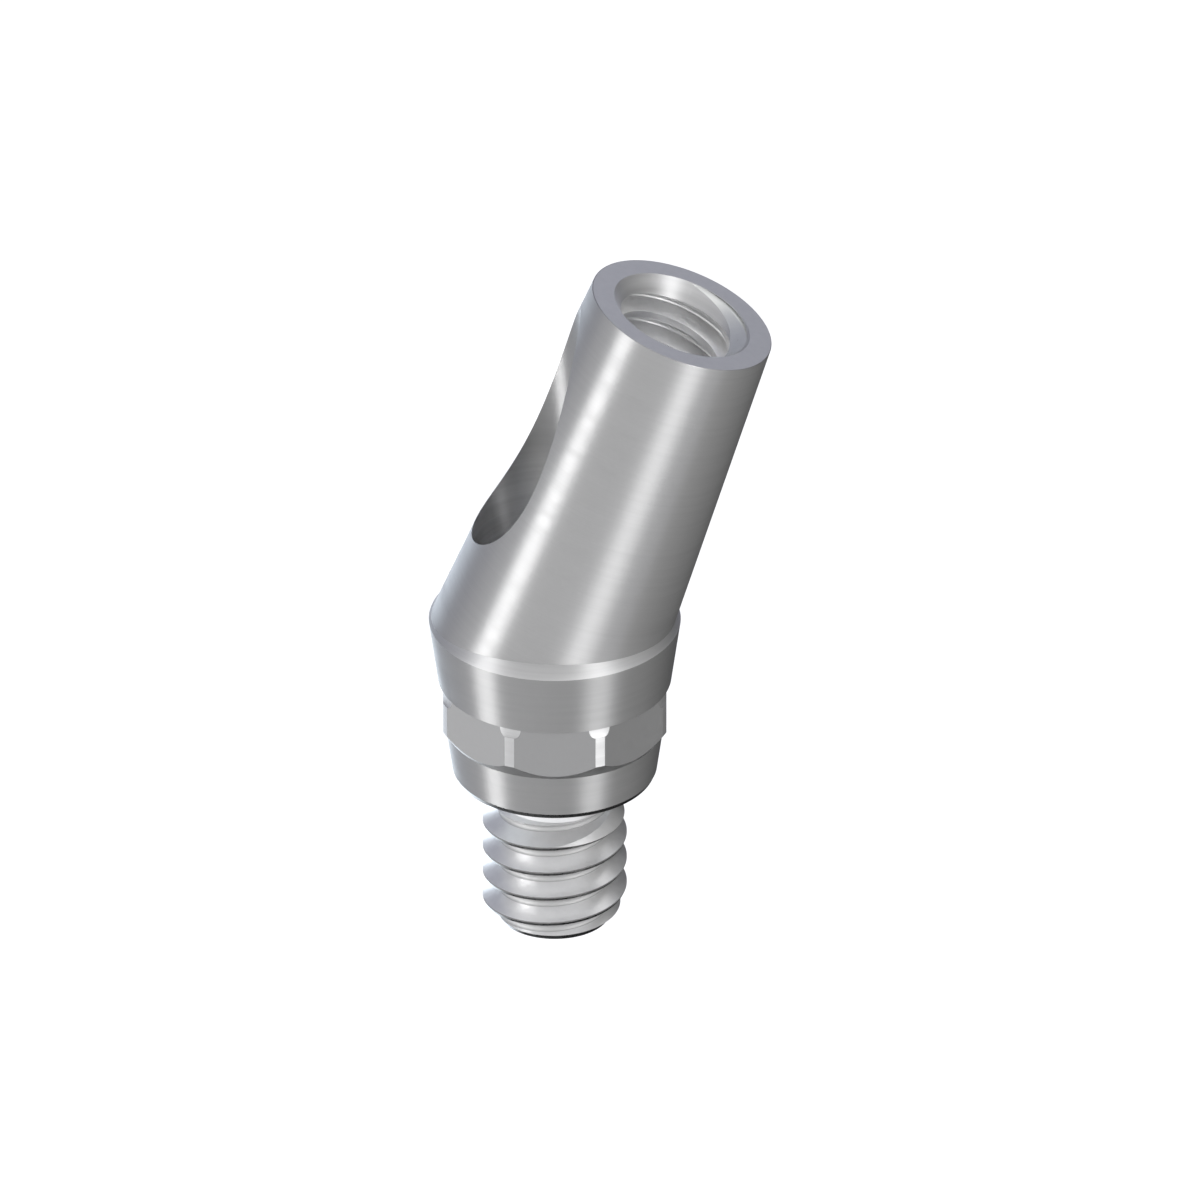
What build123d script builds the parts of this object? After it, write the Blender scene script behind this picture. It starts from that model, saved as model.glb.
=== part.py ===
from build123d import *
import os
from math import cos, radians, sin, tan

# An angled dental abutment and its captive basal screw, in millimetres.
# The origin is on the base axis, level with the shoulder's ridge. +Z runs up the base axis,
# and the post leans towards +X.

os.makedirs("parts", exist_ok=True)

# Post
POST_TILT = 20.0
POST_LENGTH = 5.165
POST_ROOT_RADIUS = 1.595
POST_TAPER = 3.0

# Shoulder and base cone
RIDGE_RADIUS = 1.75
SHOULDER_BEVEL = 45.0
SHOULDER_HEIGHT = 0.35
BASE_TAPER = 8.0
UPPER_CONE_LENGTH = 0.916
BASE_LENGTH = 2.405
BASE_EDGE_BREAK = 0.025

# Octagon
OCTAGON_SIDES = 8
OCTAGON_FLATS = 3.1
CORNER_RADIUS = 1.65
CORNER_LEAD_IN = 0.124
CORNER_LAND = 0.465
CORNER_BEVEL = 34.5

# Threads, drawn as plain cylinders
THREAD_RADIUS = 1.0
THREAD_CORE_RADIUS = 0.784
THREAD_BEVEL = 45.0

# Threaded bore in the top of the post
BORE_DEPTH = 2.0
BORE_POINT_ANGLE = 59.0
BORE_MOUTH_MARGIN = 0.005
POST_EDGE_BREAK = 0.01

# Driver channel, which leaves through the side of the post
CHANNEL_RADIUS = 0.925
CHANNEL_TILT = 5.5
CHANNEL_START = -1.0

# Screw head, its chamber and seat
HEAD_RADIUS = 0.9
HEAD_CLEARANCE = 0.05
HEAD_HEIGHT = 1.45
HEAD_EDGE_BREAK = 0.05
SEAT_BEVEL = 45.0
SEAT_GAP = 0.02
FLOOR_THICKNESS = 0.45
CHAMBER_HEADROOM = 0.15

# Driver socket
SOCKET_FLATS = 1.27
SOCKET_DEPTH = 0.8
SOCKET_POINT_ANGLE = 59.0

# Screw shank
NECK_RADIUS = 0.75
NECK_CLEARANCE = 0.05
NECK_EXPOSED = 0.445
THREAD_LENGTH = 1.62
TIP_RADIUS = 0.785
TIP_EDGE_BREAK = 0.015

# How far a cutting tool runs past the surface that it cuts
OVERCUT = 1.0

# Levels along the base axis
octagon_top = -UPPER_CONE_LENGTH
corner_top = octagon_top - CORNER_LEAD_IN
corner_bottom = corner_top - CORNER_LAND
base_bottom = -BASE_LENGTH
seat_level = base_bottom + FLOOR_THICKNESS

# The post axis and where it meets the top face
post_axis = Vector(sin(radians(POST_TILT)), 0, cos(radians(POST_TILT)))
post_top = post_axis * POST_LENGTH

# Radii that follow from the fits
clearance_hole_radius = NECK_RADIUS + NECK_CLEARANCE
chamber_radius = HEAD_RADIUS + HEAD_CLEARANCE
bore_mouth_radius = THREAD_RADIUS + BORE_MOUTH_MARGIN


def base_cone_radius(z):
    """Radius of the long 8 degree cone at a level along the base axis."""
    return RIDGE_RADIUS + z * tan(radians(BASE_TAPER))


def post_radius(along):
    """Radius of the post at a distance along its own axis."""
    return POST_ROOT_RADIUS - along * tan(radians(POST_TAPER))


def turned(points):
    """Solid of revolution about the base axis from a closed list of (radius, level) points."""
    outline = make_face(Polyline(*[(r, 0, z) for r, z in points], close=True))
    return revolve(outline, Axis.Z)


def bevel_rise(run, angle):
    """Height of a bevel that crosses a radial run, its angle counted from the axis."""
    return run / tan(radians(angle))


def base_blank():
    """The base as it comes off the lathe, before the octagon's flats are milled."""
    shoulder_top_radius = RIDGE_RADIUS - SHOULDER_HEIGHT * tan(radians(SHOULDER_BEVEL))
    # The bevel under the corners ends where it meets the base cone
    fall = tan(radians(CORNER_BEVEL)) - tan(radians(BASE_TAPER))
    guide_top = corner_bottom - (CORNER_RADIUS - base_cone_radius(corner_bottom)) / fall
    return turned([
        (0, SHOULDER_HEIGHT),
        (shoulder_top_radius, SHOULDER_HEIGHT),
        (RIDGE_RADIUS, 0),
        (base_cone_radius(octagon_top), octagon_top),
        (CORNER_RADIUS, corner_top),
        (CORNER_RADIUS, corner_bottom),
        (base_cone_radius(guide_top), guide_top),
        (base_cone_radius(base_bottom + BASE_EDGE_BREAK), base_bottom + BASE_EDGE_BREAK),
        (base_cone_radius(base_bottom) - BASE_EDGE_BREAK, base_bottom),
        (0, base_bottom),
    ])


def octagon_waste():
    """What the mill takes off to leave the flats, facing +X, +Y and between them."""
    height = octagon_top - base_bottom
    ring = Cylinder(RIDGE_RADIUS + OVERCUT, height, align=(Align.CENTER, Align.CENTER, Align.MIN))
    prism = extrude(RegularPolygon(OCTAGON_FLATS / 2, OCTAGON_SIDES, major_radius=False,
                                   rotation=180 / OCTAGON_SIDES), height)
    return Pos(0, 0, base_bottom) * (ring - prism)


def post_cone():
    """The tilted conical post, cut off level with the ridge."""
    foot = -RIDGE_RADIUS
    blank = turned([
        (0, foot),
        (post_radius(foot), foot),
        (post_radius(POST_LENGTH - POST_EDGE_BREAK), POST_LENGTH - POST_EDGE_BREAK),
        (post_radius(POST_LENGTH) - POST_EDGE_BREAK, POST_LENGTH),
        (0, POST_LENGTH),
    ])
    side = 4 * RIDGE_RADIUS
    below = Box(side, side, side, align=(Align.CENTER, Align.CENTER, Align.MAX))
    return Rot(0, POST_TILT, 0) * blank - below


def threaded_bore():
    """Blind bore down the post axis, with a bevelled mouth and a drilled point."""
    mouth_bevel = bevel_rise(bore_mouth_radius - THREAD_CORE_RADIUS, THREAD_BEVEL)
    point = bevel_rise(THREAD_CORE_RADIUS, BORE_POINT_ANGLE)
    tool = turned([
        (0, OVERCUT),
        (bore_mouth_radius, OVERCUT),
        (bore_mouth_radius, 0),
        (THREAD_CORE_RADIUS, -mouth_bevel),
        (THREAD_CORE_RADIUS, -BORE_DEPTH),
        (0, -BORE_DEPTH - point),
    ])
    return Pos(*post_top) * Rot(0, POST_TILT, 0) * tool


def driver_channel():
    """The leaning channel from the head chamber out through the side of the post."""
    length = POST_LENGTH - CHANNEL_START + OVERCUT
    tool = Cylinder(CHANNEL_RADIUS, length, align=(Align.CENTER, Align.CENTER, Align.MIN))
    return Pos(0, 0, CHANNEL_START) * Rot(0, -CHANNEL_TILT, 0) * tool


def head_chamber():
    """Clearance hole, conical seat and head chamber, all on the base axis."""
    seat_rise = bevel_rise(chamber_radius - clearance_hole_radius, SEAT_BEVEL)
    chamber_top = head_top() + CHAMBER_HEADROOM
    return turned([
        (0, base_bottom - OVERCUT),
        (clearance_hole_radius, base_bottom - OVERCUT),
        (clearance_hole_radius, seat_level),
        (chamber_radius, seat_level + seat_rise),
        (chamber_radius, chamber_top),
        (0, chamber_top),
    ])


def head_base():
    """Level where the head's seating cone leaves the neck."""
    gap_along_axis = SEAT_GAP / sin(radians(SEAT_BEVEL))
    return seat_level - bevel_rise(NECK_CLEARANCE, SEAT_BEVEL) + gap_along_axis


def head_top():
    """Level of the head's top face."""
    return head_base() + bevel_rise(HEAD_RADIUS - NECK_RADIUS, SEAT_BEVEL) + HEAD_HEIGHT


def driver_socket():
    """Hexagon socket with a drilled point at its floor."""
    point = bevel_rise(SOCKET_FLATS / 2, SOCKET_POINT_ANGLE)
    floor = head_top() - SOCKET_DEPTH
    hexagon = RegularPolygon(SOCKET_FLATS / 2, 6, major_radius=False)
    prism = Pos(0, 0, floor) * extrude(hexagon, SOCKET_DEPTH + OVERCUT)
    drill = turned([
        (0, floor - point),
        (SOCKET_FLATS / 2, floor),
        (SOCKET_FLATS / 2, floor + point),
        (0, floor + point),
    ])
    return prism + drill


def abutment_body():
    """The abutment itself: base, post and every hole in them."""
    outside = base_blank() - octagon_waste() + post_cone()
    return outside - head_chamber() - driver_channel() - threaded_bore()


def abutment_screw():
    """The captive basal screw, from its head down to its tip."""
    seat_top = head_top() - HEAD_HEIGHT
    neck_bottom = base_bottom - NECK_EXPOSED
    thread_top = neck_bottom - bevel_rise(THREAD_RADIUS - NECK_RADIUS, THREAD_BEVEL)
    thread_bottom = neck_bottom - THREAD_LENGTH
    tip_level = thread_bottom - bevel_rise(THREAD_RADIUS - TIP_RADIUS, THREAD_BEVEL)
    shape = turned([
        (0, head_top()),
        (HEAD_RADIUS - HEAD_EDGE_BREAK, head_top()),
        (HEAD_RADIUS, head_top() - HEAD_EDGE_BREAK),
        (HEAD_RADIUS, seat_top),
        (NECK_RADIUS, head_base()),
        (NECK_RADIUS, neck_bottom),
        (THREAD_RADIUS, thread_top),
        (THREAD_RADIUS, thread_bottom),
        (TIP_RADIUS, tip_level),
        (TIP_RADIUS - TIP_EDGE_BREAK, tip_level - TIP_EDGE_BREAK),
        (0, tip_level - TIP_EDGE_BREAK),
    ])
    return shape - driver_socket()


export_step(abutment_body(), "parts/abutment_body.step")
export_step(abutment_screw(), "parts/abutment_screw.step")
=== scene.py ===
from math import ceil, cos, pi, radians, sin, tan

import bmesh
import bpy
from mathutils import Matrix, Vector


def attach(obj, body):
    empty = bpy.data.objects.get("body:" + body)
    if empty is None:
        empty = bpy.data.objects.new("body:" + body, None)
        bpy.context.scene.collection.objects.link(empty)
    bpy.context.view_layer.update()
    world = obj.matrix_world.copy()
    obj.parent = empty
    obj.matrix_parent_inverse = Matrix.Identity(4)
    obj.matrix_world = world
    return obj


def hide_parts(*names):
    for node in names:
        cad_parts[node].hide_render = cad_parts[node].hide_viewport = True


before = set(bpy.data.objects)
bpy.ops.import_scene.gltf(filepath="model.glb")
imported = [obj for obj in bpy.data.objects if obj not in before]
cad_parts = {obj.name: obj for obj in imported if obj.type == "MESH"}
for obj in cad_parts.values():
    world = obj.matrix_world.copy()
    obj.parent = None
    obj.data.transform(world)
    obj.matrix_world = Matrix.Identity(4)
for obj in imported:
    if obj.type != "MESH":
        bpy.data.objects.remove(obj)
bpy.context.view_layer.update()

# A millimetre in metres
MM = 0.001

# Driving dimensions of the abutment, in millimetres and degrees
POST_TILT = 20.0
POST_LENGTH = 5.165
POST_ROOT_RADIUS = 1.595
POST_TAPER = 3.0
POST_EDGE = 0.012
RIDGE_RADIUS = 1.75
RIDGE_EDGE = 0.012
SHOULDER_HEIGHT = 0.35
BASE_TAPER = 8.0
OCTAGON_TOP = -0.916
OCTAGON_SIDES = 8
OCTAGON_FLATS = 3.1
CORNER_RADIUS = 1.65
CORNER_TOP = -1.04
CORNER_BOTTOM = -1.505
CORNER_BEVEL = 34.5
CORNER_EDGE = 0.03
BASE_BOTTOM = -2.405
BASE_EDGE = 0.07
EDGE_SLOPE = 25.0
CHANNEL_RADIUS = 0.925
CHANNEL_TILT = 5.5
CHANNEL_START = -1.0
CHAMBER_RADIUS = 0.95
CHAMBER_TOP = -0.2267
CLEARANCE_RADIUS = 0.8
SEAT_LEVEL = -1.955
BORE_DEPTH = 2.0
BORE_POINT_ANGLE = 59.0
BORE_THREAD_DEPTH = 1.15
BORE_MOUTH_RADIUS = 1.003

# Threads, both M2 x 0.4 and right-handed
PITCH = 0.4
MAJOR_RADIUS = 1.0
SCREW_ROOT_RADIUS = 0.7546
BORE_CORE_RADIUS = 0.784
FLANK = 30.0
SCREW_CREST_WIDTH = PITCH / 8
BORE_CREST_WIDTH = PITCH / 4
CREST_EDGE = 0.04
# Level of a screw crest on the -X side, and how far the bore's thread is turned
SCREW_CREST_LEVEL = -3.625
BORE_THREAD_TURN = 112.5
# Turns of the screw's groove, and how many of them lie below that crest
GROOVE_TURNS = 6
GROOVE_TURNS_BELOW = 3

# Screw
HEAD_RADIUS = 0.9
HEAD_TOP = -0.3767
HEAD_EDGE = 0.05
SEAT_TOP = -1.8267
HEAD_BASE = -1.9767
NECK_RADIUS = 0.75
NECK_BOTTOM = -2.85
THREAD_TOP = -3.1
THREAD_BOTTOM = -4.47
TIP_RADIUS = 0.77
TIP_LEVEL = -4.7
TIP_EDGE = 0.05
SOCKET_SIDES = 6
SOCKET_FLATS = 1.27
SOCKET_DEPTH = 0.8

# Fineness of the meshes: steps round a turned form, a thread's turn, a groove's root and a scoop
STEPS = 512
THREAD_STEPS = 256
ROOT_STEPS = 8
SCOOP_STEPS = 10
# Largest step of a rounded edge, and the angle from which an edge stays sharp
ARC_STEP = radians(9)
SHARP = radians(12)
# A face is a square end where more than this of its normal lies along the axis
SQUARE = 0.999
# Edges shorter than this are closed up
SLIVER = 0.00005

# How far a tool reaches past what it cuts, and a groove's tool past the crests
OVERCUT = 0.5
SCREW_GROOVE_OVERCUT = CREST_EDGE / 20
BORE_GROOVE_OVERCUT = PITCH / 10
# The tool that cuts the post off: its reach in ridge radii, and its sides
CUTTER_REACH = 3
CUTTER_SIDES = 8
# How far the flats' tool reaches down the guide cone, as a share of the cone's height
FLATS_RUNOUT = 0.25
# Seams of the turned forms in degrees, set apart so that no two have their corners in line
POST_SEAM = 0.13
CUTTER_SEAM = 5.0
CHAMBER_SEAM = 0.29
CHANNEL_SEAM = 0.41
BORE_SEAM = 0.53
SCREW_SEAM = 0.35

UPRIGHT = Matrix.Identity(4)
POST_FRAME = Matrix.Rotation(radians(POST_TILT), 4, "Y")
POST_TOP = POST_FRAME @ Matrix.Translation((0, 0, POST_LENGTH))
CHANNEL_LEAN = Matrix.Rotation(radians(-CHANNEL_TILT), 4, "Y")
CHANNEL_FRAME = Matrix.Translation((0, 0, CHANNEL_START)) @ CHANNEL_LEAN

# Tool marks in mm: their grain along the three axes, their depth, and the share they vary the tone by
TURNING_MARKS = ((5.0, 5.0, 0.12), 0.0015, 0.09)
FACE_MARKS = ((0.1, 0.1, 0.1), 0.0008, 0.03)
EDGE_MARKS = ((0.1, 0.1, 0.1), 0.0005, 0.03)
# The noise that draws the marks, the share they vary the shine by, and how strongly they tilt it
NOISE_DETAIL = 3.0
NOISE_ROUGHNESS = 0.65
NOISE_RANGE = (0.25, 0.75)
SHINE_VARIATION = 0.11
BUMP_STRENGTH = 0.3
# Levels in mm between which painted shade darkens the channel's wall, and the share of its colour that
# is left
CHANNEL_FADE_LEVELS = (1.2, 2.5)
CHANNEL_FADE = 0.42


def solid(name, points, faces, finish, place=UPRIGHT, bands=()):
    """A mesh object, its faces turned outwards, with a finish for its sides and one for its square ends.
    A band (low, high, material) gives the sides between two levels a finish of their own."""
    mesh = bpy.data.meshes.new(name)
    mesh.from_pydata(points, [], faces)
    shell = bmesh.new()
    shell.from_mesh(mesh)
    bmesh.ops.recalc_face_normals(shell, faces=shell.faces)
    for face in shell.faces:
        face.material_index = int(abs(face.normal.z) > SQUARE)
        level = face.calc_center_median().z
        for order, (low, high, material) in enumerate(bands):
            if low < level < high and not face.material_index:
                face.material_index = len(finish) + order
    shell.to_mesh(mesh)
    shell.free()
    mesh.transform(place)
    for material in (*finish, *[band[2] for band in bands]):
        mesh.materials.append(material)
    piece = bpy.data.objects.new(name, mesh)
    bpy.context.scene.collection.objects.link(piece)
    return piece


def sheet(name, width, height, paint, place):
    """A rectangle of one material whose middle is the origin of its place."""
    x = width / 2
    y = height / 2
    corners = [(-x, -y, 0), (x, -y, 0), (x, y, 0), (-x, y, 0)]
    return solid(name, corners, [(0, 1, 2, 3)], (paint, paint), place)


def rounded(outline):
    """The outline's points, where a corner given as (radius, level, fillet) becomes an arc."""
    points = []
    for index, corner in enumerate(outline):
        here = Vector(corner[:2])
        if len(corner) < 3:
            points.append(here)
            continue
        fillet = corner[2]
        back = (Vector(outline[index - 1][:2]) - here).normalized()
        ahead = (Vector(outline[index + 1][:2]) - here).normalized()
        half = back.angle(ahead) / 2
        centre = here + (back + ahead).normalized() * fillet / sin(half)
        first = here + back * fillet / tan(half) - centre
        last = here + ahead * fillet / tan(half) - centre
        count = max(2, ceil((pi - 2 * half) / ARC_STEP))
        points += [centre + first.slerp(last, k / count) * fillet for k in range(count + 1)]
    return points


def turned(name, outline, finish, place=UPRIGHT, steps=STEPS, seam=0.0, bands=()):
    """A solid of revolution whose outline starts and ends on the axis and whose seam is at an angle."""
    profile = rounded(outline)
    rings = profile[1:-1]
    angles = [radians(seam) + 2 * pi * j / steps for j in range(steps)]
    points = [(r * cos(angle), r * sin(angle), z) for r, z in rings for angle in angles]
    faces = []
    for i in range(len(rings) - 1):
        for j in range(steps):
            k = (j + 1) % steps
            faces.append((i * steps + j, (i + 1) * steps + j, (i + 1) * steps + k, i * steps + k))
    for tip, first in ((profile[0], 0), (profile[-1], len(points) - steps)):
        if tip[1] == points[first][2]:
            faces.append(tuple(range(first, first + steps)))
            continue
        for j in range(steps):
            faces.append((len(points), first + j, first + (j + 1) % steps))
        points.append((0, 0, tip[1]))
    return solid(name, points, faces, finish, place, bands)


def prism_ring(name, sides, inner, outer, low, high, turn, finish):
    """A ring whose hole and outline are regular prisms, with their flats that far from the axis."""
    corner = 1 / cos(pi / sides)
    points = []
    for level in (low, high):
        for reach in (inner * corner, outer * corner):
            for j in range(sides):
                angle = turn + 2 * pi * j / sides
                points.append((reach * cos(angle), reach * sin(angle), level))
    faces = []
    for j in range(sides):
        k = (j + 1) % sides
        low_in, low_out, high_in, high_out = (ring * sides + j for ring in range(4))
        low_in2, low_out2, high_in2, high_out2 = (ring * sides + k for ring in range(4))
        faces.append((low_in, low_in2, high_in2, high_in))
        faces.append((low_out, high_out, high_out2, low_out2))
        faces.append((low_in, low_out, low_out2, low_in2))
        faces.append((high_in, high_in2, high_out2, high_out))
    return solid(name, points, faces, finish)


def vee(mouth, root, apex):
    """The section of a 60 degree groove with a round root, as (radius, level) points from the top."""
    side = 1 if mouth > apex else -1
    arc_radius = abs(root - apex)
    arc_centre = apex + side * arc_radius / sin(radians(FLANK))
    half_mouth = abs(mouth - apex) * tan(radians(FLANK))
    swing = [radians(90 + FLANK + (180 - 2 * FLANK) * k / ROOT_STEPS) for k in range(ROOT_STEPS + 1)]
    arc = [(arc_centre + side * arc_radius * cos(a), arc_radius * sin(a)) for a in swing]
    return [(mouth, half_mouth)] + arc + [(mouth, -half_mouth)]


def helical(name, section, level, angle, turns, finish, place=UPRIGHT, sides=(), bands=()):
    """A section swept along a right-handed helix from that level and angle.
    A pair (side, order) in sides gives one side of the section the finish of that order."""
    count = round(turns * THREAD_STEPS)
    size = len(section)
    points = []
    for i in range(count + 1):
        turn = i / THREAD_STEPS
        swing = angle + 2 * pi * turn
        points += [(r * cos(swing), r * sin(swing), level + PITCH * turn + z) for r, z in section]
    faces = [tuple(range(size)), tuple(range(count * size + size - 1, count * size - 1, -1))]
    for i in range(count):
        for j in range(size):
            k = (j + 1) % size
            faces.append((i * size + j, (i + 1) * size + j, (i + 1) * size + k, i * size + k))
    piece = solid(name, points, faces, finish, place, bands)
    for side, order in sides:
        for i in range(count):
            piece.data.polygons[2 + i * size + side].material_index = order
    return piece


def settle(piece):
    """Gives a piece the mesh that its modifiers make."""
    graph = bpy.context.evaluated_depsgraph_get()
    settled = bpy.data.meshes.new_from_object(piece.evaluated_get(graph))
    piece.modifiers.clear()
    piece.data = settled


def combine(piece, tool, operation):
    """Cuts the tool from the piece or joins it on, and deletes the tool."""
    step = piece.modifiers.new("combine", "BOOLEAN")
    step.operation = operation
    step.solver = "EXACT"
    step.material_mode = "TRANSFER"
    step.object = tool
    settle(piece)
    bpy.data.objects.remove(tool)


def finished(piece):
    """Clears a piece of slivers, brings it to metres and smooths it between its true edges."""
    shell = bmesh.new()
    shell.from_mesh(piece.data)
    bmesh.ops.dissolve_degenerate(shell, dist=SLIVER, edges=shell.edges)
    # A corner part-way along an edge would leave doubled edges when the faces become triangles
    idle = [corner for corner in shell.verts if len(corner.link_edges) == 2]
    bmesh.ops.dissolve_verts(shell, verts=idle)
    shell.to_mesh(piece.data)
    shell.free()
    piece.data.transform(Matrix.Scale(MM, 4))
    piece.data.shade_smooth()
    piece.data.set_sharp_from_angle(angle=SHARP)
    weigh = piece.modifiers.new("weigh", "WEIGHTED_NORMAL")
    weigh.keep_sharp = True
    settle(piece)
    piece.data.name = piece.name
    return piece


def base_radius(level):
    """Radius of the 8 degree cone at a level."""
    return RIDGE_RADIUS + level * tan(radians(BASE_TAPER))


def post_radius(along):
    """Radius of the post at a distance along its axis."""
    return POST_ROOT_RADIUS - along * tan(radians(POST_TAPER))


def base():
    """The base with its shoulder, octagon and guide cone. Small scoops start the octagon's corners."""
    fall = tan(radians(CORNER_BEVEL)) - tan(radians(BASE_TAPER))
    guide_top = CORNER_BOTTOM - (CORNER_RADIUS - base_radius(CORNER_BOTTOM)) / fall
    scoop_run = CORNER_RADIUS - base_radius(OCTAGON_TOP)
    scoop_fall = OCTAGON_TOP - CORNER_TOP
    sweep = [pi / 2 * k / SCOOP_STEPS for k in range(SCOOP_STEPS + 1)]
    edge_top = BASE_BOTTOM + BASE_EDGE
    piece = turned("abutment_body_fine", [
        (0, SHOULDER_HEIGHT),
        (RIDGE_RADIUS - SHOULDER_HEIGHT, SHOULDER_HEIGHT),
        (RIDGE_RADIUS, 0, RIDGE_EDGE),
        *[(CORNER_RADIUS - scoop_run * cos(a), OCTAGON_TOP - scoop_fall * sin(a)) for a in sweep],
        (CORNER_RADIUS, CORNER_BOTTOM, CORNER_EDGE),
        (base_radius(guide_top), guide_top),
        (base_radius(edge_top), edge_top),
        (base_radius(edge_top) - BASE_EDGE * tan(radians(EDGE_SLOPE)), BASE_BOTTOM),
        (0, BASE_BOTTOM),
    ], (base_turned, underside_painted_light), bands=[
        (0, SHOULDER_HEIGHT, bevel_turned),
        # The corners get painted highlight, and the cone under them and the bottom edge painted shade
        (CORNER_BOTTOM, OCTAGON_TOP, corner_turned_painted_highlight),
        (guide_top, CORNER_BOTTOM, corner_under_painted_shade),
        (BASE_BOTTOM, edge_top, edge_painted_shade),
    ])
    waste_bottom = guide_top - (guide_top - BASE_BOTTOM) * FLATS_RUNOUT
    waste = prism_ring("waste", OCTAGON_SIDES, OCTAGON_FLATS / 2, RIDGE_RADIUS + OVERCUT,
                       waste_bottom, OCTAGON_TOP, pi / OCTAGON_SIDES, FLAT_FINISH)
    combine(piece, waste, "DIFFERENCE")
    return piece


def post():
    """The tilted post, cut off level with the ridge."""
    foot = -RIDGE_RADIUS
    piece = turned("post", [
        (0, POST_LENGTH),
        (post_radius(POST_LENGTH), POST_LENGTH, POST_EDGE),
        (post_radius(foot), foot),
        (0, foot),
    ], POST_FINISH, POST_FRAME, seam=POST_SEAM)
    below = turned("below", [
        (0, 0),
        (CUTTER_REACH * RIDGE_RADIUS, 0),
        (CUTTER_REACH * RIDGE_RADIUS, CUTTER_REACH * foot),
        (0, CUTTER_REACH * foot),
    ], BASE_FINISH, steps=CUTTER_SIDES, seam=CUTTER_SEAM)
    combine(piece, below, "DIFFERENCE")
    return piece


def chamber_tool():
    """The screw's head chamber, its seat and its clearance hole, as the solid to take away."""
    seat_rise = CHAMBER_RADIUS - CLEARANCE_RADIUS
    return turned("chamber", [
        (0, CHAMBER_TOP),
        (CHAMBER_RADIUS, CHAMBER_TOP),
        (CHAMBER_RADIUS, SEAT_LEVEL + seat_rise),
        (CLEARANCE_RADIUS, SEAT_LEVEL),
        (CLEARANCE_RADIUS, BASE_BOTTOM - OVERCUT),
        (0, BASE_BOTTOM - OVERCUT),
    ], BASE_FINISH, seam=CHAMBER_SEAM)


def channel_tool():
    """The driver channel, which leaves through the side of the post, as the solid to take away."""
    reach = POST_LENGTH - CHANNEL_START + OVERCUT
    return turned("channel", [
        (0, reach),
        (CHANNEL_RADIUS, reach),
        (CHANNEL_RADIUS, 0),
        (0, 0),
    ], CHANNEL_FINISH, CHANNEL_FRAME, seam=CHANNEL_SEAM)


def bore_tool():
    """The bore in the top of the post, as the solid to take away."""
    mouth_bevel = BORE_MOUTH_RADIUS - BORE_CORE_RADIUS
    point = BORE_CORE_RADIUS / tan(radians(BORE_POINT_ANGLE))
    return turned("bore", [
        (0, OVERCUT),
        (BORE_MOUTH_RADIUS + OVERCUT, OVERCUT),
        (BORE_CORE_RADIUS, -mouth_bevel),
        (BORE_CORE_RADIUS, -BORE_DEPTH),
        (0, -BORE_DEPTH - point),
    ], BORE_FINISH, POST_TOP, seam=BORE_SEAM, bands=[(-mouth_bevel, OVERCUT, bevel_bored)])


def bore_groove():
    """The groove of the bore's thread, as the solid to take away."""
    half_space = (PITCH - BORE_CREST_WIDTH) / 2
    apex = BORE_CORE_RADIUS + half_space / tan(radians(FLANK))
    section = vee(BORE_CORE_RADIUS - BORE_GROOVE_OVERCUT, MAJOR_RADIUS, apex)
    turns = ceil((BORE_THREAD_DEPTH + PITCH) / PITCH)
    return helical("bore_groove", section, -BORE_THREAD_DEPTH, radians(BORE_THREAD_TURN), turns,
                   BORE_FINISH, POST_TOP,
                   bands=[(BORE_CORE_RADIUS - BORE_MOUTH_RADIUS, PITCH, groove_mouth)])


def make_body():
    """The abutment in one piece, with every hole in it."""
    piece = base()
    combine(piece, post(), "UNION")
    for tool in (chamber_tool, channel_tool, bore_tool, bore_groove):
        combine(piece, tool(), "DIFFERENCE")
    return finished(piece)


def screw_groove():
    """The groove of the screw's thread, as the solid to take away."""
    half_space = (PITCH - SCREW_CREST_WIDTH) / 2
    apex = MAJOR_RADIUS - half_space / tan(radians(FLANK))
    section = vee(MAJOR_RADIUS + SCREW_GROOVE_OVERCUT, SCREW_ROOT_RADIUS, apex)
    # The lower edge of the crest is broken by a small bevel
    mouth = section[0][0]
    lip_radius = MAJOR_RADIUS - CREST_EDGE * tan(radians(EDGE_SLOPE))
    lip_level = (lip_radius - apex) * tan(radians(FLANK))
    lip_rise = (mouth - lip_radius) / tan(radians(EDGE_SLOPE))
    section = [(mouth, lip_level + lip_rise), (lip_radius, lip_level)] + section[1:]
    first_root = 2
    roots = range(first_root, first_root + ROOT_STEPS)
    start = SCREW_CREST_LEVEL - PITCH / 2 - GROOVE_TURNS_BELOW * PITCH
    return helical("groove", section, start, pi, GROOVE_TURNS, THREAD_FINISH,
                   sides=[(0, LIP_ORDER)] + [(side, ROOT_ORDER) for side in roots])


def hexagon_tool():
    """The screw's hexagon socket, as the solid to take away."""
    corner_radius = SOCKET_FLATS / 2 / cos(pi / SOCKET_SIDES)
    floor_level = HEAD_TOP - SOCKET_DEPTH
    return turned("hexagon", [
        (0, HEAD_TOP + OVERCUT),
        (corner_radius, HEAD_TOP + OVERCUT),
        (corner_radius, floor_level),
        (0, floor_level),
    ], FLAT_FINISH, steps=SOCKET_SIDES)


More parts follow.
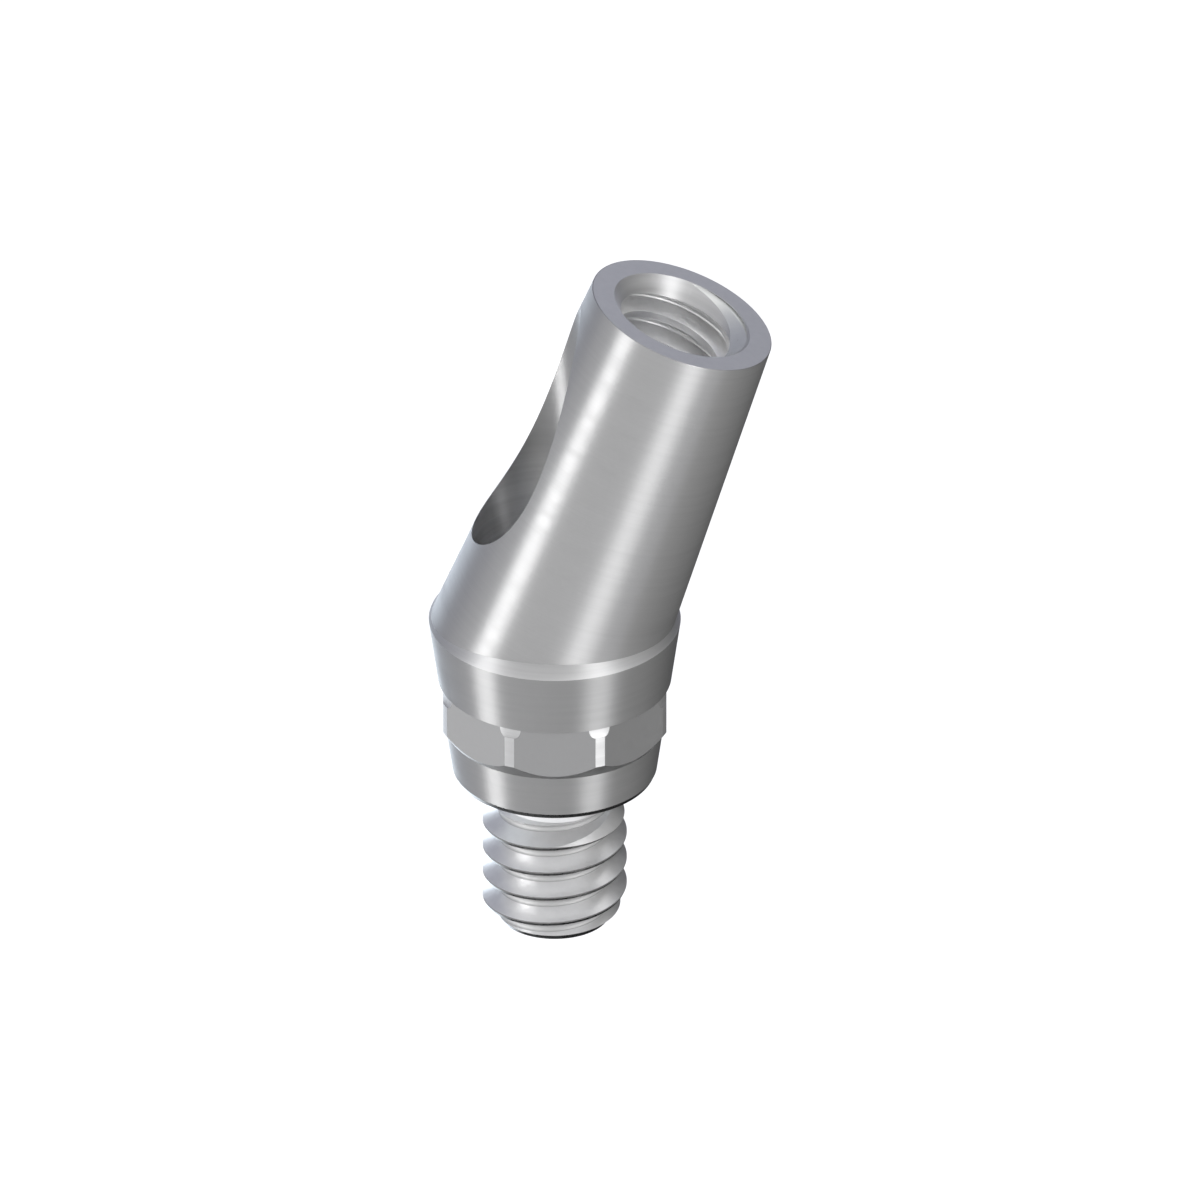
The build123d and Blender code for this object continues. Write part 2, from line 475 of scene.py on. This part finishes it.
def make_screw():
    """The basal screw with its hexagon socket and its thread."""
    piece = turned("abutment_screw_fine", [
        (0, HEAD_TOP),
        (HEAD_RADIUS, HEAD_TOP, HEAD_EDGE),
        (HEAD_RADIUS, SEAT_TOP),
        (NECK_RADIUS, HEAD_BASE),
        (NECK_RADIUS, NECK_BOTTOM),
        (MAJOR_RADIUS, THREAD_TOP),
        (MAJOR_RADIUS, THREAD_BOTTOM),
        (TIP_RADIUS + TIP_EDGE * tan(radians(EDGE_SLOPE)), TIP_LEVEL + TIP_EDGE),
        (TIP_RADIUS, TIP_LEVEL),
        (0, TIP_LEVEL),
    ], SCREW_FINISH, seam=SCREW_SEAM, bands=[
        (THREAD_TOP, HEAD_BASE, thread_rolled),
        # The crests and the tip's edge get painted shade
        (THREAD_BOTTOM, THREAD_TOP, thread_crest_painted_shade),
        (TIP_LEVEL, THREAD_BOTTOM, edge_painted_shade),
    ])
    combine(piece, screw_groove(), "DIFFERENCE")
    combine(piece, hexagon_tool(), "DIFFERENCE")
    return finished(piece)


def feed(node, name, value):
    """Sets a shader input, by its name or its number, to a constant or to another node's output."""
    if isinstance(value, bpy.types.NodeSocket):
        node.id_data.links.new(value, node.inputs[name])
    else:
        node.inputs[name].default_value = value


def computed(nodes, kind, operation, first, second):
    """The output of a Math or Vector Math node for two values."""
    node = nodes.new(kind)
    node.operation = operation
    feed(node, 0, first)
    feed(node, 1, second)
    return node.outputs[0]


def scaled(nodes, colour, factor):
    """The output of a node that scales a colour."""
    node = nodes.new("ShaderNodeVectorMath")
    node.operation = "SCALE"
    feed(node, 0, colour)
    feed(node, "Scale", factor)
    return node.outputs["Vector"]


def mapped(nodes, value, source, target=(0.0, 1.0), curve="LINEAR"):
    """The output of a node that maps a value from a source range to a target range."""
    node = nodes.new("ShaderNodeMapRange")
    node.interpolation_type = curve
    feed(node, "Value", value)
    feed(node, "From Min", source[0])
    feed(node, "From Max", source[1])
    feed(node, "To Min", target[0])
    feed(node, "To Max", target[1])
    return node.outputs["Result"]


def titanium(name, colour, roughness, marks):
    """Machined titanium with tool marks, which vary its tone and its shine and lift its surface."""
    grain, depth, variation = marks
    material = bpy.data.materials.new(name)
    material.use_nodes = True
    nodes = material.node_tree.nodes
    place = nodes.new("ShaderNodeTexCoord")
    stretch = nodes.new("ShaderNodeMapping")
    stretch.vector_type = "TEXTURE"
    feed(stretch, "Scale", [size * MM for size in grain])
    feed(stretch, "Vector", place.outputs["Object"])
    noise = nodes.new("ShaderNodeTexNoise")
    feed(noise, "Scale", 1.0)
    feed(noise, "Detail", NOISE_DETAIL)
    feed(noise, "Roughness", NOISE_ROUGHNESS)
    feed(noise, "Vector", stretch.outputs["Vector"])
    drawn = noise.outputs["Fac"]
    tone = mapped(nodes, drawn, NOISE_RANGE, (1 - variation, 1 + variation))
    dull = roughness * (1 + SHINE_VARIATION)
    bright = roughness * (1 - SHINE_VARIATION)
    bump = nodes.new("ShaderNodeBump")
    feed(bump, "Strength", BUMP_STRENGTH)
    feed(bump, "Distance", depth * MM)
    feed(bump, "Height", drawn)
    shader = nodes["Principled BSDF"]
    feed(shader, "Metallic", 1.0)
    feed(shader, "Base Color", scaled(nodes, colour, tone))
    feed(shader, "Roughness", mapped(nodes, drawn, NOISE_RANGE, (bright, dull)))
    feed(shader, "Normal", bump.outputs["Normal"])
    return material


def turned_titanium(name, colour, roughness, lean=0):
    """Turned titanium, with tool marks round an axis that leans by that angle towards +X.
    Its shine is drawn out across the marks."""
    material = titanium(name, colour, roughness, TURNING_MARKS)
    nodes = material.node_tree.nodes
    feed(nodes["Mapping"], "Rotation", (0, radians(lean), 0))
    axis = (sin(radians(lean)), 0, cos(radians(lean)))
    normal = nodes.new("ShaderNodeNewGeometry").outputs["Normal"]
    around = computed(nodes, "ShaderNodeVectorMath", "CROSS_PRODUCT", axis, normal)
    across = computed(nodes, "ShaderNodeVectorMath", "CROSS_PRODUCT", normal, around)
    shader = nodes["Principled BSDF"]
    feed(shader, "Anisotropic", 1.0)
    feed(shader, "Tangent", across)
    return material


def painted_shade_by_height(material, levels, share):
    """Paints shade on a material: darkens it from its full colour at one level in mm to that share of it
    at another.
    """
    nodes = material.node_tree.nodes
    height = nodes.new("ShaderNodeSeparateXYZ")
    feed(height, "Vector", nodes["Texture Coordinate"].outputs["Object"])
    heights = [level * MM for level in levels]
    fade = mapped(nodes, height.outputs["Z"], heights, (1.0, share), "SMOOTHSTEP")
    shader = nodes["Principled BSDF"]
    colour = shader.inputs["Base Color"].links[0].from_socket
    feed(shader, "Base Color", scaled(nodes, colour, fade))
    return material


# The finishes that the machining leaves, in tool marks and shine. Their colours, lighter or darker from
# one region to another, are painted light and shade
faced = titanium("titanium_faced", (0.71, 0.71, 0.71), 0.35, FACE_MARKS)
milled = titanium("titanium_milled", (0.31, 0.31, 0.31), 0.55, FACE_MARKS)
# Painted shade: dark along the base's bottom edge, the screw tip's edge and the thread's lips
edge_painted_shade = titanium("titanium_edge_cut", (0.2, 0.2, 0.2), 0.28, EDGE_MARKS)
# Painted shade on the cone under the octagon's corners
corner_under_painted_shade = titanium("titanium_corner_under", (0.38, 0.38, 0.38), 0.45, FACE_MARKS)
# Painted light: the base's underside is lightened so that its reflection brightens the thread below it
underside_painted_light = titanium("titanium_underside", (0.82, 0.82, 0.82), 0.85, FACE_MARKS)
base_turned = turned_titanium("titanium_base_turned", (0.41, 0.41, 0.41), 0.5)
bevel_turned = turned_titanium("titanium_bevel_turned", (0.75, 0.75, 0.75), 0.68)
# Painted highlight on the octagon's corners and the scoops that start them
corner_turned_painted_highlight = turned_titanium("titanium_corner_turned", (0.62, 0.62, 0.62), 0.42)
post_turned = turned_titanium("titanium_post_turned", (0.53, 0.53, 0.53), 0.5, POST_TILT)
# Painted light and shade: the channel's wall is lightened to stand for light in the hollow, and darkened
# towards the top
channel_painted_light_and_shade = painted_shade_by_height(
    turned_titanium("titanium_channel_bored", (0.93, 0.93, 0.93), 0.5, -CHANNEL_TILT),
    CHANNEL_FADE_LEVELS, CHANNEL_FADE)
bevel_bored = turned_titanium("titanium_bevel_bored", (0.82, 0.82, 0.82), 0.68, POST_TILT)
# Painted light: the bore's inside is lightened to stand for light in the hollow
bore_painted_light = titanium("titanium_bore_tapped", (0.92, 0.92, 0.92), 0.33, FACE_MARKS)
groove_mouth = titanium("titanium_groove_mouth", (0.63, 0.64, 0.63), 0.3, FACE_MARKS)
thread_rolled = titanium("titanium_thread_rolled", (0.71, 0.71, 0.71), 0.33, FACE_MARKS)
# Painted shade in the thread's roots
thread_root_painted_shade = titanium("titanium_thread_root", (0.48, 0.48, 0.48), 0.6, FACE_MARKS)
# Painted shade along the thread's crests
thread_crest_painted_shade = titanium("titanium_thread_crest", (0.3, 0.3, 0.3), 0.9, EDGE_MARKS)
screw_turned = turned_titanium("titanium_screw_turned", (0.55, 0.55, 0.55), 0.45)

# The finishes of each form, for its sides and its square ends
BASE_FINISH = (base_turned, faced)
POST_FINISH = (post_turned, faced)
FLAT_FINISH = (milled, milled)
CHANNEL_FINISH = (channel_painted_light_and_shade, faced)
BORE_FINISH = (bore_painted_light, bore_painted_light)
SCREW_FINISH = (screw_turned, milled)
THREAD_FINISH = (thread_rolled, thread_rolled, edge_painted_shade, thread_root_painted_shade)
# The orders of the lips' finish and of the roots' in the thread's, both painted shade
LIP_ORDER = 2
ROOT_ORDER = 3

# The pieces
body = make_body()
screw = make_screw()
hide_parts("abutment_body")
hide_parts("abutment_screw")
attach(body, "abutment")
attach(screw, "screw")

# Camera, at the photograph's angle and scale
PHOTO_PIXELS = 1200
PIXELS_PER_MM = 72.05
ORIGIN_PIXEL = (554.8, 618.0)
CAMERA_ELEVATION = 30.0
CAMERA_DISTANCE = 0.1
NEAREST_SEEN = 0.001
FARTHEST_SEEN = 2.0
tilt = radians(CAMERA_ELEVATION)
right = Vector((1, 0, 0))
up = Vector((0, sin(tilt), cos(tilt)))
backward = Vector((0, -cos(tilt), sin(tilt)))
shift_right = (PHOTO_PIXELS / 2 - ORIGIN_PIXEL[0]) / PIXELS_PER_MM * MM
shift_up = (ORIGIN_PIXEL[1] - PHOTO_PIXELS / 2) / PIXELS_PER_MM * MM
camera = bpy.data.cameras.new("camera")
camera.type = "ORTHO"
camera.ortho_scale = PHOTO_PIXELS / PIXELS_PER_MM * MM
camera.clip_start = NEAREST_SEEN
camera.clip_end = FARTHEST_SEEN
eye = bpy.data.objects.new("camera", camera)
eye.location = right * shift_right + up * shift_up + backward * CAMERA_DISTANCE
eye.rotation_euler = (pi / 2 - tilt, 0, 0)
bpy.context.scene.collection.objects.link(eye)
bpy.context.scene.camera = eye

# Studio, in metres and degrees. Azimuth 0 is the camera's side, and azimuths grow to the right.
# A colour, a glow or a radiance of 1 is white
FLOOR_LEVEL = -0.05
FLOOR_SIZE = 1.0
FLOOR_COLOUR = (0.8, 0.8, 0.8, 1)
FLOOR_ROUGHNESS = 0.9
FLOOR_WHITE = 0.45
WALL_RADIUS = 0.04
WALL_BOTTOM = -89
WALL_STEP = 5
WALL_ROWS = 24
# Shades of the two walls by azimuth
DARK_SHADES = [
    (60, (0.77, 0.77, 0.77)),
    (80, (0.65, 0.65, 0.65)),
    (110, (0.4, 0.4, 0.4)),
    (150, (0.1, 0.1, 0.1)),
    (180, (0.08, 0.08, 0.08)),
]
PALE_SHADES = [
    (180, (2.9, 3.2, 3.5)),
    (217, (2.9, 3.2, 3.5)),
    (238, (0.8, 0.8, 0.8)),
]
# Elevations of the walls' tops. The dark one falls by so much, from an azimuth on and over a width
DARK_TOP = 45
DARK_FALL = 40
DARK_FALL_START = 140
DARK_FALL_WIDTH = 20
PALE_TOP = -1
# Sky: its colours in front and behind and its strengths low and high, each with the range of Y or Z,
# in a direction of length 1, over which one gives way to the other
SKY_FRONT = (1.0, 1.0, 1.0, 1)
SKY_BACK = (0.43, 0.44, 0.51, 1)
SKY_DEPTHS = (-0.6, 0.6)
SKY_STRENGTHS = (0.95, 1.05)
SKY_HEIGHTS = (0.4, 0.95)
# Numbers of a Mix node's two colours and of its mixed one, which share their names with others
MIX_FIRST = 6
MIX_SECOND = 7
MIX_RESULT = 2


def direction(azimuth, elevation):
    """The direction of length 1 that an azimuth and an elevation give."""
    bearing = radians(azimuth)
    rise = radians(elevation)
    return sin(bearing) * cos(rise), -cos(bearing) * cos(rise), sin(rise)


def facing(azimuth, elevation, distance):
    """The place of a thing that faces the object."""
    toward = Vector(direction(azimuth, elevation))
    return Matrix.Translation(toward * distance) @ toward.to_track_quat("Z", "Y").to_matrix().to_4x4()


def white_to_the_eye(paint, share):
    """Adds that share of white to what the camera, gloss and glass see of a material."""
    nodes = paint.node_tree.nodes
    path = nodes.new("ShaderNodeLightPath")
    seen = path.outputs["Is Camera Ray"]
    for ray in ("Is Glossy Ray", "Is Transmission Ray"):
        seen = computed(nodes, "ShaderNodeMath", "MAXIMUM", seen, path.outputs[ray])
    glow = nodes.new("ShaderNodeEmission")
    feed(glow, "Strength", computed(nodes, "ShaderNodeMath", "MULTIPLY", seen, share))
    blend = nodes.new("ShaderNodeAddShader")
    feed(blend, 0, nodes["Principled BSDF"].outputs["BSDF"])
    feed(blend, 1, glow.outputs["Emission"])
    feed(nodes["Material Output"], "Surface", blend.outputs["Shader"])


def glowing(name, strength):
    """A material that only glows."""
    paint = bpy.data.materials.new(name)
    paint.use_nodes = True
    nodes = paint.node_tree.nodes
    glow = nodes.new("ShaderNodeEmission")
    feed(glow, "Strength", strength)
    feed(nodes["Material Output"], "Surface", glow.outputs["Emission"])
    return paint


def gloss_only(card):
    """Makes a card of the studio that is seen in the object's gloss and nowhere else."""
    card.visible_camera = False
    card.visible_diffuse = False
    card.visible_shadow = False
    card.visible_transmission = False


def gloss_card(name, azimuth, elevation, distance, width, height, glow):
    """A glowing card that faces the object and that only the object's gloss sees."""
    place = facing(azimuth, elevation, distance)
    gloss_only(sheet(name, width, height, glowing(name, glow), place))


def studio_wall(name, shades, top):
    """A wall that only the object's gloss sees, from the floor's middle up, graded by bearing."""
    start = shades[0][0]
    end = shades[-1][0]
    columns = round((end - start) / WALL_STEP)
    points = []
    faces = []
    for i in range(WALL_ROWS + 1):
        for j in range(columns + 1):
            azimuth = start + (end - start) * j / columns
            elevation = WALL_BOTTOM + (top(azimuth) - WALL_BOTTOM) * i / WALL_ROWS
            points.append([WALL_RADIUS * part for part in direction(azimuth, elevation)])
    for i in range(WALL_ROWS):
        for j in range(columns):
            corner = i * (columns + 1) + j
            faces.append((corner, corner + 1, corner + columns + 2, corner + columns + 1))
    brightest = max(max(shade) for azimuth, shade in shades)
    paint = glowing(name, brightest)
    nodes = paint.node_tree.nodes
    # The bearing from the back of the object, positive to the left
    place = nodes.new("ShaderNodeTexCoord")
    mirror = nodes.new("ShaderNodeMapping")
    feed(mirror, "Scale", (-1, 1, 1))
    feed(mirror, "Vector", place.outputs["Object"])
    parts = nodes.new("ShaderNodeSeparateXYZ")
    feed(parts, "Vector", mirror.outputs["Vector"])
    bearing = computed(nodes, "ShaderNodeMath", "ARCTAN2", parts.outputs["X"], parts.outputs["Y"])
    ramp = nodes.new("ShaderNodeValToRGB")
    marks = ramp.color_ramp.elements
    marks.remove(marks[-1])
    for order, (azimuth, shade) in enumerate(shades):
        spot = (azimuth - start) / (end - start)
        mark = marks.new(spot) if order else marks[0]
        mark.position = spot
        mark.color = (*[level / brightest for level in shade], 1)
    feed(ramp, "Fac", mapped(nodes, bearing, (radians(start - 180), radians(end - 180))))
    feed(nodes["Emission"], "Color", ramp.outputs["Color"])
    gloss_only(solid(name, points, faces, (paint, paint)))


def dark_top(azimuth):
    """The elevation of the dark wall's top, which falls towards the back."""
    return DARK_TOP - DARK_FALL * min(1, max(0, (azimuth - DARK_FALL_START) / DARK_FALL_WIDTH))


def area_light(name, azimuth, elevation, distance, width, height, radiance):
    """A rectangular lamp that faces the object."""
    lamp = bpy.data.lights.new(name, "AREA")
    lamp.shape = "RECTANGLE"
    lamp.size = width
    lamp.size_y = height
    lamp.energy = radiance * pi * width * height
    spot = bpy.data.objects.new(name, lamp)
    spot.matrix_world = facing(azimuth, elevation, distance)
    bpy.context.scene.collection.objects.link(spot)


# Floor
floor_paint = bpy.data.materials.new("floor_white")
floor_paint.use_nodes = True
floor_shader = floor_paint.node_tree.nodes["Principled BSDF"]
feed(floor_shader, "Base Color", FLOOR_COLOUR)
feed(floor_shader, "Roughness", FLOOR_ROUGHNESS)
white_to_the_eye(floor_paint, FLOOR_WHITE)
floor = sheet("floor", FLOOR_SIZE, FLOOR_SIZE, floor_paint, Matrix.Translation((0, 0, FLOOR_LEVEL)))

# What the metal reflects: two walls round the back, a dark card below that paints the shade of the floor
# under the object, and two strips overhead.
# A card has an azimuth, an elevation, a distance, a width, a height and a glow
studio_wall("wall_dark", DARK_SHADES, dark_top)
studio_wall("wall_pale", PALE_SHADES, lambda azimuth: PALE_TOP)
# Painted shade: a dark card below, standing for the floor's shade under the object
gloss_card("painted_shade_below", 140, -76, 0.034, 0.05, 0.05, 0.03)
gloss_card("strip_right", 108, 64, 0.036, 0.009, 0.03, 1.5)
gloss_card("strip_left", -104, 68, 0.036, 0.008, 0.026, 1.2)

# World, brightest overhead, dimmer and a little bluer at the back
world = bpy.data.worlds.new("studio")
bpy.context.scene.world = world
world.use_nodes = True
sky_nodes = world.node_tree.nodes
sky_place = sky_nodes.new("ShaderNodeTexCoord")
sky_parts = sky_nodes.new("ShaderNodeSeparateXYZ")
feed(sky_parts, "Vector", sky_place.outputs["Generated"])
sky_tint = sky_nodes.new("ShaderNodeMix")
sky_tint.data_type = "RGBA"
feed(sky_tint, "Factor", mapped(sky_nodes, sky_parts.outputs["Y"], SKY_DEPTHS))
feed(sky_tint, MIX_FIRST, SKY_FRONT)
feed(sky_tint, MIX_SECOND, SKY_BACK)
sky = sky_nodes["Background"]
feed(sky, "Strength", mapped(sky_nodes, sky_parts.outputs["Z"], SKY_HEIGHTS, SKY_STRENGTHS))
feed(sky, "Color", sky_tint.outputs[MIX_RESULT])

# Lamps, each with an azimuth, an elevation, a distance, a width, a height and a radiance
area_light("key_left", -63, 2, 0.1, 0.033, 0.035, 11.0)
area_light("fill_right", 41, 29, 0.1, 0.037, 0.035, 8.0)

bpy.context.scene.view_settings.view_transform = "Standard"
